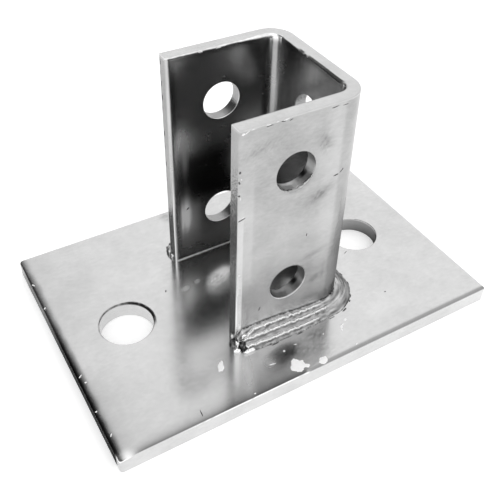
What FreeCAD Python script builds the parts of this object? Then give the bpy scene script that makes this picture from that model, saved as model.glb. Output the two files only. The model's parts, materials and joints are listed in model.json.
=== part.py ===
"""Strut post base: a bent U channel welded upright on a flat base plate.

The channel's open side faces -X. A strut post drops into it and is bolted through the flange and
web holes; the plate is anchored to concrete through its two large holes.

Frame: +Z up, X along the plate, Y across it, origin at the centre of the plate's underside.
All lengths are in millimetres.
"""

import FreeCAD, Part
import math
import os

import Sketcher

# Driving dimensions: alias, value, what it is.
SIZES = (
    ("plate_length", 152.4, "base plate along X"),
    ("plate_width", 101.6, "base plate across Y"),
    ("plate_thick", 6.35, "base plate thickness"),
    ("plate_corner", 1.2, "radius of the plate's upright corners"),
    ("plate_roll", 1.0, "roll-over radius on the plate's sheared top edges"),
    ("anchor_dia", 19.6, "anchor hole diameter"),
    ("anchor_pitch", 102.0, "distance between the anchor holes"),
    ("anchor_middle", -1.2, "middle of the anchor holes along X"),
    ("sheet_thick", 4.8, "thickness of the channel's flanges and web"),
    ("inside_width", 43.0, "clear width between the flanges"),
    ("channel_depth", 46.6, "open edges to the back of the web"),
    ("channel_height", 88.9, "channel height above the plate"),
    ("bend_inside", 4.0, "inside radius of the two bends"),
    ("channel_x", 1.1, "middle of the channel along X"),
    ("channel_y", -1.0, "middle of the channel along Y"),
    ("channel_roll", 0.8, "roll-over radius on the channel's sheared edges"),
    ("bolt_dia", 14.3, "bolt hole diameter"),
    ("bolt_from_edge", 20.6, "flange bolt holes to the open edge"),
    ("bolt_from_top", 21.0, "upper bolt holes to the top edge"),
    ("bolt_pitch", 47.6, "upper to lower bolt holes"),
    ("rim_break", 0.3, "broken edge at every punched hole's rims"),
    ("weld_up", 4.8, "weld leg on the channel"),
    ("weld_out", 7.2, "weld leg on the plate"),
    ("weld_crown", 0.55, "rise of each weld run above a straight face"),
    ("weld_runs", 3, "weld runs laid side by side"),
    ("weld_setback", 1.2, "first full weld section back from the open edges"),
    ("crater_radius", 3.4, "ball that ends the weld at each open edge"),
    ("crater_out", 2.9, "ball's centre out from the channel's side"),
    ("wrap_radius", 2.4, "smaller ball that wraps round each open edge"),
)
VALUE = {alias: value for alias, value, note in SIZES}
NODES = ("base_plate", "post_channel", "fillet_weld")
NEAR = 0.01  # tolerance for telling edges apart

# Expressions used by more than one sub-part, in the channel's own frame: its middle on the plate.
HALF_DEPTH = "sizes.channel_depth / 2"
HALF_OUTSIDE = "sizes.inside_width / 2 + sizes.sheet_thick"
BEND_OUTSIDE = "sizes.bend_inside + sizes.sheet_thick"

doc = FreeCAD.newDocument("post_base")


def make_sheet():
    """Spreadsheet of the driving dimensions, each value with its alias."""
    cells = doc.addObject("Spreadsheet::Sheet", "sizes")
    for row, (alias, value, note) in enumerate(SIZES, start=1):
        cells.set(f"A{row}", note)
        cells.set(f"B{row}", str(value))
        cells.setAlias(f"B{row}", alias)
    doc.recompute()


def new_body(label, on_plate=True):
    """Empty body named after its node; its own frame is the plate's or the channel's middle."""
    body = doc.addObject("PartDesign::Body", label)
    body.Label = label
    if on_plate:
        body.setExpression("Placement.Base.x", "sizes.channel_x")
        body.setExpression("Placement.Base.y", "sizes.channel_y")
        body.setExpression("Placement.Base.z", "sizes.plate_thick")
    return body


def origin(body, role):
    """One of the body's own origin planes or axes."""
    return next(feature for feature in body.Origin.OriginFeatures if feature.Role == role)


def new_sketch(body, name, role):
    sketch = body.newObject("Sketcher::SketchObject", name)
    sketch.AttachmentSupport = [(origin(body, role), "")]
    sketch.MapMode = "FlatFace"
    return sketch


def bind(sketch, kind, *places, cell):
    """Adds a dimension to a sketch and binds it to the sheet."""
    start = sketch.evalExpression(cell)
    index = sketch.addConstraint(Sketcher.Constraint(kind, *places, float(start)))
    sketch.setExpression(f"Constraints[{index}]", cell)


def rectangle(sketch, left, right, down, up):
    """Rectangle whose four sides stand at the given distances from the sketch's origin."""
    sides = (left, right, down, up)
    x_low, x_high, y_low, y_high = (float(sketch.evalExpression(cell)) for cell in sides)
    places = ((-x_low, -y_low), (x_high, -y_low), (x_high, y_high), (-x_low, y_high))
    corners = [FreeCAD.Vector(x, y, 0) for x, y in places]
    for start, end in zip(corners, corners[1:] + corners[:1]):
        sketch.addGeometry(Part.LineSegment(start, end))
    for side in range(len(corners)):
        following = (side + 1) % len(corners)
        sketch.addConstraint(Sketcher.Constraint("Coincident", side, 2, following, 1))
        sketch.addConstraint(Sketcher.Constraint("Vertical" if side % 2 else "Horizontal", side))
    bind(sketch, "DistanceX", 0, 1, -1, 1, cell=left)
    bind(sketch, "DistanceX", -1, 1, 1, 1, cell=right)
    bind(sketch, "DistanceY", 0, 1, -1, 1, cell=down)
    bind(sketch, "DistanceY", -1, 1, 2, 1, cell=up)


def circle(sketch, right, up, diameter):
    """Circle whose centre stands right of the sketch's origin and above it."""
    x, y, width = (float(sketch.evalExpression(c)) for c in (right, up, diameter))
    ring = Part.Circle(FreeCAD.Vector(x, y, 0), FreeCAD.Vector(0, 0, 1), width / 2)
    sketch.addGeometry(ring)
    bind(sketch, "DistanceX", -1, 1, 0, 3, cell=right)
    bind(sketch, "DistanceY", -1, 1, 0, 3, cell=up)
    bind(sketch, "Diameter", 0, cell=diameter)


def pad(body, name, sketch, height):
    feature = body.newObject("PartDesign::Pad", name)
    feature.Profile = sketch
    feature.setExpression("Length", height)
    doc.recompute()
    return feature


def pocket(body, name, sketch, side="Symmetric"):
    """Cut through everything, both ways from the sketch or along its plane's normal only."""
    before = body.Shape.Volume
    feature = body.newObject("PartDesign::Pocket", name)
    feature.Profile = sketch
    feature.Type = "ThroughAll"
    feature.SideType = side
    feature.Reversed = side == "One side"
    doc.recompute()
    if body.Shape.Volume > before - NEAR:
        raise RuntimeError(f"{name} cuts nothing")
    return feature


def pattern(body, name, feature, role, length, backwards=False):
    """Two copies of a cut, a length apart along an axis of the body."""
    rows = body.newObject("PartDesign::LinearPattern", name)
    rows.Originals = [feature]
    rows.Direction = (origin(body, role), [""])
    rows.Reversed = backwards
    rows.Occurrences = 2
    rows.setExpression("Length", length)
    body.Tip = rows
    doc.recompute()
    return rows


def dress(body, kind, name, base, test, size):
    """Fillet or Chamfer of a size on every edge of a feature that passes a test."""
    edges = enumerate(base.Shape.Edges, start=1)
    chosen = [f"Edge{number}" for number, edge in edges if test(edge)]
    if not chosen:
        raise RuntimeError(f"{name} finds no edge")
    feature = body.newObject(f"PartDesign::{kind}", name)
    feature.Base = (base, chosen)
    feature.setExpression("Radius" if kind == "Fillet" else "Size", size)
    doc.recompute()
    return feature


def break_rims(body, base, diameter):
    """Small bevel on both rims of every round hole of one diameter."""
    dress(body, "Chamfer", "rims", base, lambda e: is_ring(e, diameter), "sizes.rim_break")


def is_upright(edge):
    box = edge.BoundBox
    return box.XLength < NEAR and box.YLength < NEAR


def is_at_top(edge, height):
    return edge.BoundBox.ZMin > height - NEAR


def is_ring(edge, diameter):
    return edge.isClosed() and abs(edge.Length - math.pi * diameter) < NEAR


def base_plate():
    """Flat bar cut to length, with two punched anchor holes and rolled-over top edges."""
    body = new_body("base_plate", on_plate=False)
    outline = new_sketch(body, "plate_outline", "XY_Plane")
    half_length, half_width = "sizes.plate_length / 2", "sizes.plate_width / 2"
    rectangle(outline, half_length, half_length, half_width, half_width)
    slab = pad(body, "slab", outline, "sizes.plate_thick")
    corners = dress(body, "Fillet", "corners", slab, is_upright, "sizes.plate_corner")
    top = VALUE["plate_thick"]
    dress(body, "Fillet", "roll", corners, lambda e: is_at_top(e, top), "sizes.plate_roll")
    ring = new_sketch(body, "anchor_ring", "XY_Plane")
    circle(ring, "sizes.anchor_middle + sizes.anchor_pitch / 2", "0", "sizes.anchor_dia")
    hole = pocket(body, "anchor_hole", ring)
    holes = pattern(body, "anchor_holes", hole, "X_Axis", "sizes.anchor_pitch", backwards=True)
    break_rims(body, holes, VALUE["anchor_dia"])


def post_channel():
    """Plate bent to a U on end, with two bolt holes through each flange and two in the web."""
    body = new_body("post_channel")
    outline = new_sketch(body, "outside", "XY_Plane")
    rectangle(outline, HALF_DEPTH, HALF_DEPTH, HALF_OUTSIDE, HALF_OUTSIDE)
    block = pad(body, "block", outline, "sizes.channel_height")
    web_side = VALUE["channel_depth"] / 2 - NEAR

    def at_web(edge):
        return is_upright(edge) and edge.BoundBox.XMin > web_side

    dress(body, "Fillet", "bends_outside", block, at_web, BEND_OUTSIDE)
    hollow = new_sketch(body, "inside", "XY_Plane")
    to_web = "sizes.channel_depth / 2 - sizes.sheet_thick"
    half_inside = "sizes.inside_width / 2"
    rectangle(hollow, "sizes.channel_depth", to_web, half_inside, half_inside)
    slot = pocket(body, "slot", hollow)
    inner_wall = VALUE["channel_depth"] / 2 - VALUE["sheet_thick"]

    def at_inner_corner(edge):
        return is_upright(edge) and abs(edge.BoundBox.XMin - inner_wall) < NEAR

    bent = dress(body, "Fillet", "bends_inside", slot, at_inner_corner, "sizes.bend_inside")
    punched = bolt_holes(body, bent)
    top, open_edge = VALUE["channel_height"], -VALUE["channel_depth"] / 2

    def is_sheared(edge):
        at_open_edge = is_upright(edge) and abs(edge.BoundBox.XMin - open_edge) < NEAR
        return at_open_edge or is_at_top(edge, top)

    roll = dress(body, "Fillet", "roll", punched, is_sheared, "sizes.channel_roll")
    break_rims(body, roll, VALUE["bolt_dia"])


def bolt_holes(body, base):
    """Two rows of holes, one hole above the other: across both flanges, and through the web."""
    height = "sizes.channel_height - sizes.bolt_from_top"
    across = new_sketch(body, "flange_ring", "XZ_Plane")
    circle(across, "sizes.bolt_from_edge - sizes.channel_depth / 2", height, "sizes.bolt_dia")
    flange_hole = pocket(body, "flange_hole", across)
    pattern(body, "flange_holes", flange_hole, "Z_Axis", "sizes.bolt_pitch", backwards=True)
    along = new_sketch(body, "web_ring", "YZ_Plane")
    circle(along, "0", height, "sizes.bolt_dia")
    web_hole = pocket(body, "web_hole", along)
    return pattern(body, "web_holes", web_hole, "Z_Axis", "sizes.bolt_pitch", backwards=True)


def weld_path(body):
    """Line where the channel's outside meets the plate: flange, bend, web, bend, flange."""
    path = new_sketch(body, "weld_path", "XY_Plane")
    side = VALUE["inside_width"] / 2 + VALUE["sheet_thick"]
    back = VALUE["channel_depth"] / 2
    bend = VALUE["bend_inside"] + VALUE["sheet_thick"]
    start, middle = VALUE["weld_setback"] - back, back - bend
    point, up = FreeCAD.Vector, FreeCAD.Vector(0, 0, 1)
    front_bend = Part.Circle(point(middle, bend - side, 0), up, bend)
    rear_bend = Part.Circle(point(middle, side - bend, 0), up, bend)
    path.addGeometry(Part.LineSegment(point(start, -side, 0), point(middle, -side, 0)))
    path.addGeometry(Part.ArcOfCircle(front_bend, -math.pi / 2, 0.0))
    path.addGeometry(Part.LineSegment(point(back, bend - side, 0), point(back, side - bend, 0)))
    path.addGeometry(Part.ArcOfCircle(rear_bend, 0.0, math.pi / 2))
    path.addGeometry(Part.LineSegment(point(middle, side, 0), point(start, side, 0)))
    last = path.GeometryCount - 1
    for piece in range(last):
        path.addConstraint(Sketcher.Constraint("Tangent", piece, 2, piece + 1, 1))
    for piece, kind in ((0, "Horizontal"), (2, "Vertical"), (last, "Horizontal")):
        path.addConstraint(Sketcher.Constraint(kind, piece))
    path.addConstraint(Sketcher.Constraint("Equal", 1, 3))
    bind(path, "Radius", 1, cell=BEND_OUTSIDE)
    bind(path, "DistanceX", 0, 1, -1, 1, cell=f"{HALF_DEPTH} - sizes.weld_setback")
    bind(path, "DistanceX", last, 2, -1, 1, cell=f"{HALF_DEPTH} - sizes.weld_setback")
    bind(path, "DistanceX", -1, 1, 2, 1, cell=HALF_DEPTH)
    bind(path, "DistanceY", 0, 1, -1, 1, cell=HALF_OUTSIDE)
    bind(path, "DistanceY", -1, 1, last, 2, cell=HALF_OUTSIDE)
    return path


def weld_section(body):
    """Weld section: a leg on the channel, a leg on the plate, and round-topped runs between.

    Each run is an arc over an equal share of the straight face from toe to toe. An arc over a
    chord c that rises h has the radius (c^2 / 4 + h^2) / 2h.
    """
    section = new_sketch(body, "weld_section", "YZ_Plane")
    section.setExpression("AttachmentOffset.Base.z", f"sizes.weld_setback - {HALF_DEPTH}")
    side, runs = VALUE["inside_width"] / 2 + VALUE["sheet_thick"], VALUE["weld_runs"]
    leg_up, leg_out = VALUE["weld_up"], VALUE["weld_out"]
    root = FreeCAD.Vector(-side, 0, 0)
    shares = [k / runs for k in range(runs + 1)]
    ends = [root + FreeCAD.Vector(-leg_out * share, leg_up * (1 - share), 0) for share in shares]
    crown = FreeCAD.Vector(-leg_up, leg_out, 0).normalize() * VALUE["weld_crown"]
    section.addGeometry(Part.LineSegment(root, ends[0]))
    for first, last in zip(ends, ends[1:]):
        section.addGeometry(Part.Arc(first, (first + last) / 2 + crown, last))
    section.addGeometry(Part.LineSegment(ends[-1], root))
    foot = section.GeometryCount - 1
    for piece in range(section.GeometryCount):
        following = (piece + 1) % section.GeometryCount
        section.addConstraint(Sketcher.Constraint("Coincident", piece, 2, following, 1))
    section.addConstraint(Sketcher.Constraint("Vertical", 0))
    section.addConstraint(Sketcher.Constraint("Horizontal", foot))
    section.addConstraint(Sketcher.Constraint("PointOnObject", 0, 1, -1))
    bind(section, "DistanceX", 0, 1, -1, 1, cell=HALF_OUTSIDE)
    bind(section, "DistanceY", -1, 1, 0, 2, cell="sizes.weld_up")
    bind(section, "DistanceX", foot, 1, -1, 1, cell=f"{HALF_OUTSIDE} + sizes.weld_out")
    for run in range(1, runs):
        share = f"{run} / sizes.weld_runs"
        out = f"{HALF_OUTSIDE} + sizes.weld_out * {share}"
        bind(section, "DistanceX", run, 2, -1, 1, cell=out)
        bind(section, "DistanceY", -1, 1, run, 2, cell=f"sizes.weld_up * (1 - {share})")
        section.addConstraint(Sketcher.Constraint("Equal", run, run + 1))
    chord = "(sizes.weld_up ^ 2 + sizes.weld_out ^ 2) / sizes.weld_runs ^ 2"
    radius = f"({chord} / 4 + sizes.weld_crown ^ 2) / (2 * sizes.weld_crown)"
    bind(section, "Radius", 1, cell=radius)
    return section


def ball(body, name, x, y, z, radius):
    """Rounded lump of weld metal at a place in the body's own frame."""
    lump = body.newObject("PartDesign::AdditiveSphere", name)
    for axis, cell in zip("xyz", (x, y, z)):
        lump.setExpression(f"Placement.Base.{axis}", cell)
    lump.setExpression("Radius", radius)
    doc.recompute()


def clear_away(body, name, x, y, z, sizes):
    """Cuts a box out of the weld, from its low corner and its three lengths."""
    box = body.newObject("PartDesign::SubtractiveBox", name)
    for axis, cell in zip("xyz", (x, y, z)):
        box.setExpression(f"Placement.Base.{axis}", cell)
    for side, cell in zip(("Length", "Width", "Height"), sizes):
        box.setExpression(side, cell)
    doc.recompute()


def fillet_weld():
    """One weld round the channel's outside, in side-by-side runs, with a lump at each end.

    The lumps are balls on the plate, trimmed flush with the channel and with the plate.
    """
    body = new_body("fillet_weld")
    seam = body.newObject("PartDesign::AdditivePipe", "runs")
    seam.Profile = weld_section(body)
    seam.Spine = weld_path(body)
    doc.recompute()
    open_edge = f"-({HALF_DEPTH})"
    crater_x = f"{open_edge} + sizes.weld_setback"
    crater_y = f"{HALF_OUTSIDE} + sizes.crater_out"
    wrap_x = f"{open_edge} - sizes.wrap_radius / 4"
    wrap_y = f"{HALF_OUTSIDE} - sizes.sheet_thick / 4"
    for side, sign in (("front", "-"), ("rear", "")):
        ball(body, f"{side}_crater", crater_x, f"{sign}({crater_y})", "0", "sizes.crater_radius")
        ball(body, f"{side}_wrap", wrap_x, f"{sign}({wrap_y})", "0", "sizes.wrap_radius")
    room = (HALF_DEPTH, f"2 * ({HALF_OUTSIDE})", "sizes.channel_height")
    clear_away(body, "channel_room", open_edge, f"-({HALF_OUTSIDE})", "0", room)
    room = ("sizes.plate_length", "sizes.plate_width", "sizes.plate_thick")
    corner = ("-sizes.plate_length / 2", "-sizes.plate_width / 2", "-sizes.plate_thick")
    clear_away(body, "plate_room", *corner, room)


def check_document():
    """Stops on a failed feature, a loose sketch, or a body that isn't one valid solid."""
    for feature in doc.Objects:
        if "Invalid" in feature.State or "Error" in feature.State:
            raise RuntimeError(f"{feature.Name} failed: {feature.State}")
        if feature.TypeId == "Sketcher::SketchObject" and not feature.FullyConstrained:
            raise RuntimeError(f"{feature.Name} is not fully constrained")
    for label in NODES:
        shape = doc.getObject(label).Shape
        if shape.isNull() or not shape.isValid() or len(shape.Solids) != 1:
            raise RuntimeError(f"{label} is not one valid solid")


def write_parts():
    os.makedirs("parts", exist_ok=True)
    for label in NODES:
        shape = doc.getObject(label).Shape
        shape.exportStep(f"parts/{label}.step")
        print(f"{label}: {shape.Volume:.0f} mm3, {len(shape.Faces)} faces")


make_sheet()
base_plate()
post_channel()
fillet_weld()
doc.recompute()
check_document()
write_parts()
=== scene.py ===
"""Looks of the strut post base: a zinc-plated U channel welded upright on a flat base plate.

The plate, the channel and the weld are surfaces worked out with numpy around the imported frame.
Lengths are in millimetres, in the frame's own axes, and turn to metres when a mesh is made.
"""

import json
import math

import bpy
import numpy as np
from mathutils import Matrix, Vector


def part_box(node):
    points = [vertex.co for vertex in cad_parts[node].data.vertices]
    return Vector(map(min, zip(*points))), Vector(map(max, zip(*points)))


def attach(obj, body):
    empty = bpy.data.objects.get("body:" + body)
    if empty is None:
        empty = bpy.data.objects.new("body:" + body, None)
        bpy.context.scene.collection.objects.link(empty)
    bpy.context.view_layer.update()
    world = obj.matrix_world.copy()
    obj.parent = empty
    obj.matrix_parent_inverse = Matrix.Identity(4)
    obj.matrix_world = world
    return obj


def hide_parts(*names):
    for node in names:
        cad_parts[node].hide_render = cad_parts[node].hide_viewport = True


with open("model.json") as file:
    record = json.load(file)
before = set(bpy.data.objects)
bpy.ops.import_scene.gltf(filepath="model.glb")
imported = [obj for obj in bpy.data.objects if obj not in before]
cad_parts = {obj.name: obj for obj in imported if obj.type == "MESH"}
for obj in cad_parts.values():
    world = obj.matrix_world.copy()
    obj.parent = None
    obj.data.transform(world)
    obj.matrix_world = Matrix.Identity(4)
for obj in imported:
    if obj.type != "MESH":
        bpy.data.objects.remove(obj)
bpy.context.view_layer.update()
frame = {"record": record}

MM = 0.001  # metres in a millimetre


# --- sizes read from the frame ----------------------------------------------------------------

def corners(node):
    """Lowest and highest corner of a CAD node, in millimetres."""
    low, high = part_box(node)
    return np.array(low) / MM, np.array(high) / MM


def mount(name):
    """A mount's place in millimetres and its dimensions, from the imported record."""
    found = next(m for m in frame["record"]["mounts"] if m["name"] == name)
    return np.array(found["pos_m"]) / MM, found["dims"]


PLATE_LOW, PLATE_HIGH = corners("base_plate")
PLATE_TOP = PLATE_HIGH[2]
CHANNEL_LOW, CHANNEL_HIGH = corners("post_channel")
CHANNEL_TALL = CHANNEL_HIGH[2] - CHANNEL_LOW[2]
BORE_X, LOW_BORE_Z = mount("flange_bore_lower")[0][[0, 2]]
HIGH_BORE_Z = mount("flange_bore_upper")[0][2]
WEB_BORES = [mount("web_bore_lower"), mount("web_bore_upper")]
BORE_RADIUS = WEB_BORES[0][1]["r_mm"]
SHEET = WEB_BORES[0][1]["length_mm"]  # thickness of the channel's flanges and web
ANCHOR_MIDDLE, ANCHOR_DIMS = mount("anchor_holes")
ANCHOR_RADIUS = ANCHOR_DIMS["hole_r_mm"]
ANCHOR_X = [ANCHOR_MIDDLE[0] + side * ANCHOR_DIMS["spacing_x_mm"] / 2 for side in (-1, 1)]

# --- sizes that the frame doesn't give --------------------------------------------------------

PLATE_CORNER = 1.2  # radius of the plate's upright corners
BEND_INSIDE = 4.0
BEND_OUTSIDE = BEND_INSIDE + SHEET
BEND_X = CHANNEL_HIGH[0] - BEND_OUTSIDE  # where the flanges end and the bends start
BEND_NEAR_Y = CHANNEL_LOW[1] + BEND_OUTSIDE
BEND_FAR_Y = CHANNEL_HIGH[1] - BEND_OUTSIDE
BEND_LONG = (BEND_OUTSIDE - SHEET / 2) * math.pi / 2  # length of a bend at the sheet's middle
FLANGE_LONG = BEND_X - CHANNEL_LOW[0]
WEB_WIDE = BEND_FAR_Y - BEND_NEAR_Y
GIRTH_STOPS = np.cumsum([0.0, FLANGE_LONG, BEND_LONG, WEB_WIDE, BEND_LONG, FLANGE_LONG])
GIRTH = GIRTH_STOPS[-1]  # length of the flat blank that the channel is bent from


# --- shared numbers and shapes ----------------------------------------------------------------

def unit(value):
    """The value, held between 0 and 1."""
    return np.clip(value, 0.0, 1.0)


def smooth(value, low, high):
    """0 below low, 1 above high, and an S-curve between them."""
    share = unit((value - low) / (high - low))
    return share * share * (3.0 - 2.0 * share)


def between(value, rise, fall):
    """An S-curve up from 0 to 1 over the rise, times one down from 1 to 0 over the fall."""
    return smooth(value, *rise) * (1.0 - smooth(value, *fall))


def bump(value, middle, width):
    """Bell curve of height 1 about a middle, with its width to each side."""
    return np.exp(-(((value - middle) / width) ** 2))


def waves(points, size, seed, count=32):
    """Smooth noise of about -1 to 1: a sum of plane waves in random directions, about size long."""
    points = np.asarray(points, float).reshape(len(points), -1)
    draw = np.random.default_rng(seed)
    heading = draw.normal(size=(points.shape[1], count))
    heading /= np.linalg.norm(heading, axis=0)
    pace = draw.uniform(0.6, 1.7, count) * 2.0 * math.pi / size
    phase = draw.uniform(0.0, 2.0 * math.pi, count)
    return np.sin(points @ (heading * pace) + phase).sum(axis=1) / math.sqrt(count / 2.0) / 1.6


def spots(u, v, table):
    """Sum of soft spots (u, v, half length, half width, heading in degrees, strength): each is
    its strength times exp(-(along / half length)^2 - (across / half width)^2)."""
    total = np.zeros(len(u))
    for middle_u, middle_v, long, wide, heading, strength in table:
        turn = math.radians(heading)
        along = (u - middle_u) * math.cos(turn) + (v - middle_v) * math.sin(turn)
        across = (v - middle_v) * math.cos(turn) - (u - middle_u) * math.sin(turn)
        total += strength * np.exp(-(along / long) ** 2 - (across / wide) ** 2)
    return total


def roll(gap, width, depth):
    """Depth of a sheared edge's roll-over at a gap from the edge: a quarter of an ellipse."""
    share = unit(1.0 - gap / width)
    return depth * (1.0 - np.sqrt(1.0 - share * share))


def grid_lines(*stops):
    """Grid lines through (place, cells up to it) stops; the first stop gives only a place."""
    pieces = [np.array([stops[0]])]
    for place, cells in stops[1:]:
        pieces.append(np.linspace(pieces[-1][-1], place, cells + 1)[1:])
    return np.concatenate(pieces)


EDGE_GAPS = np.array([0.0, 0.04, 0.12, 0.25, 0.45, 0.7, 1.0, 1.35, 1.8, 2.3, 2.9, 3.6])
EDGE_BAND = EDGE_GAPS[-1]  # fine grid lines lie this close to a sheared edge
HOLE_RINGS = 16  # rings of cells between a hole's rim and the border of its block
RING_CROWDING = 1.8  # power that crowds those rings against the rim
WALL_ROWS = 10  # rows of cells down a wall between a sheet's two faces
ON_FRONT, ON_BACK = 0.0001, 0.9999  # shares of the way down a wall that count as on a face


def near_edges(inner, low, high):
    """Adds fine grid lines along both ends of a stretch to the lines inside them."""
    return np.concatenate([low + EDGE_GAPS[:-1], inner, (high - EDGE_GAPS[:-1])[::-1]])


def sheet_grid(across, along, holes):
    """Flat grid of quads over two sets of grid lines, with a round hole in some blocks of it.

    A hole is (middle across, middle along, radius, half width of its block). The block's cells
    give way to rings: a ring point is rim + (border - rim) * share, on the straight line from the
    rim to one point of the block's border. The shares grow with a power, so rings crowd the rim.
    Returns the flat points, the quads, and the loops of points round each hole and the outside.
    """
    columns, rows = len(across), len(along)
    number = np.arange(columns * rows).reshape(columns, rows)
    flat = np.stack(np.meshgrid(across, along, indexing="ij"), axis=-1).reshape(-1, 2)
    kept = np.ones((columns - 1, rows - 1), bool)
    quads, loops, extra, count = [], [], [], columns * rows
    slack = 1e-6  # lets a block's own grid lines be found in spite of rounding
    for middle_u, middle_v, radius, half in holes:
        i0, i1 = np.searchsorted(across, [middle_u - half - slack, middle_u + half - slack])
        j0, j1 = np.searchsorted(along, [middle_v - half - slack, middle_v + half - slack])
        kept[i0:i1, j0:j1] = False
        border = np.concatenate([
            number[i0:i1, j0], number[i1, j0:j1], number[i1:i0:-1, j1], number[i0, j1:j0:-1]])
        spokes = flat[border] - (middle_u, middle_v)
        rim = spokes / np.linalg.norm(spokes, axis=1)[:, None] * radius
        share = (np.arange(HOLE_RINGS) / HOLE_RINGS)[:, None, None] ** RING_CROWDING
        ring_points = rim + (spokes - rim) * share + (middle_u, middle_v)
        extra.append(ring_points.reshape(-1, 2))
        ring_number = count + np.arange(HOLE_RINGS * len(border)).reshape(HOLE_RINGS, -1)
        count += ring_number.size
        stack = np.vstack([ring_number, border])
        turned = np.roll(stack, -1, axis=1)
        quads.append(np.stack([stack[1:], turned[1:], turned[:-1], stack[:-1]], -1).reshape(-1, 4))
        loops.append(ring_number[0][::-1])
    cells = np.stack([number[:-1, :-1], number[1:, :-1], number[1:, 1:], number[:-1, 1:]], -1)
    quads.append(cells[kept])
    outside = np.concatenate([number[:-1, 0], number[-1, :-1], number[:0:-1, -1], number[0, :0:-1]])
    loops.append(outside)
    used = np.zeros(count, bool)
    used[np.concatenate([q.ravel() for q in quads])] = True
    renumber = np.cumsum(used) - 1
    flat = np.concatenate([flat, *extra])[used]
    return flat, renumber[np.concatenate(quads)], [renumber[loop] for loop in loops]


def thick_sheet(front, back, quads, loops, relief):
    """Closed shell of a sheet: its front and back surfaces, and walls that join them.

    A wall row is the straight blend of the front loop and the back loop, pushed along the wall's
    own normal by relief(points, share, loop number). Returns points, quads and each point's share
    of the way from front to back.
    """
    size = len(front)
    points, faces = [front, back], [quads, quads[:, ::-1] + size]
    share_of = [np.zeros(size), np.ones(size)]
    count = 2 * size
    for turn, loop in enumerate(loops):
        share = np.linspace(0.0, 1.0, WALL_ROWS + 1)[1:-1]
        start, end = front[loop], back[loop]
        wall = start + (end - start) * share[:, None, None]
        around = np.roll(start, -1, axis=0) - np.roll(start, 1, axis=0)
        normal = np.cross(end - start, around)
        normal /= np.linalg.norm(normal, axis=1)[:, None]
        for row, part in enumerate(share):
            wall[row] += normal * relief(wall[row], part, turn)[:, None]
        ring = count + np.arange(wall.shape[0] * len(loop)).reshape(wall.shape[0], -1)
        count += ring.size
        points.append(wall.reshape(-1, 3))
        share_of.append(np.repeat(share, len(loop)))
        stack = np.vstack([loop, ring, loop + size])
        turned = np.roll(stack, -1, axis=1)
        faces.append(np.stack([turned[:-1], stack[:-1], stack[1:], turned[1:]], -1).reshape(-1, 4))
    return np.concatenate(points), np.concatenate(faces), np.concatenate(share_of)


def add_object(name, data):
    """Puts a new object that shows some data into the scene."""
    added = bpy.data.objects.new(name, data)
    bpy.context.scene.collection.objects.link(added)
    return added


def make_piece(name, points, faces, slot, material, replaced=None, sharp=32.0, **attributes):
    """Mesh object from points in millimetres and arrays of quads or triangles. Edges that turn by
    more than `sharp` degrees stay crisp; each further argument becomes a value per point."""
    mesh = bpy.data.meshes.new(name)
    polygons = [polygon for group in faces for polygon in group.tolist()]
    mesh.from_pydata((points * MM).tolist(), [], polygons)
    for label, values in attributes.items():
        layer = mesh.attributes.new(label, "FLOAT", "POINT")
        layer.data.foreach_set("value", np.asarray(values, np.float32))
    mesh.update()
    mesh.shade_smooth()
    mesh.set_sharp_from_angle(angle=math.radians(sharp))
    mesh.materials.append(material)
    piece = add_object(name, mesh)
    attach(piece, "root")
    if replaced:
        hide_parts(replaced)
    return piece


# --- materials --------------------------------------------------------------------------------

def colour(code):
    """Linear colour from an sRGB hex code."""
    parts = np.array([int(code[k:k + 2], 16) for k in (1, 3, 5)]) / 255.0
    linear = np.where(parts <= 0.04045, parts / 12.92, ((parts + 0.055) / 1.055) ** 2.4)
    return (*linear.tolist(), 1.0)


RGBA = {"data_type": "RGBA"}  # a Mix node's setting for colours


def node(tree, kind, settings=None, **links):
    """Adds a shader node with its settings. Each input is named, or numbered as _0, _1; a socket
    given for it is linked, and any other value is set as it is."""
    made = tree.nodes.new("ShaderNode" + kind)
    for key, value in (settings or {}).items():
        setattr(made, key, value)
    for key, value in links.items():
        label = int(key[1:]) if key[1:].isdigit() else key.replace("_", " ")
        socket = made.inputs[label]
        if isinstance(value, bpy.types.NodeSocket):
            tree.links.new(value, socket)
        else:
            socket.default_value = value
    return made


def new_material(name):
    """A material with its node tree and its shader."""
    material = bpy.data.materials.new(name)
    material.use_nodes = True
    return material, material.node_tree, material.node_tree.nodes["Principled BSDF"]


def per_metre(size):
    """Noise scale whose features are about a size in millimetres."""
    return 1.0 / (size * MM)


# Sizes of the plating's patterns in millimetres. Zinc crystals are finer than this shows, so its
# clouds and streaks are the drifts between them, and the pits are drawn coarse enough to see.
CLOUD_SIZE, STREAK_SIZE, PIT_SIZE, PIT_DEEP = 12.0, 2.0, 0.7, 0.12
STREAK_SHARE = 0.3  # how much of the drift comes from the streaks
MATT_ROUGHNESS = 0.7


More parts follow.
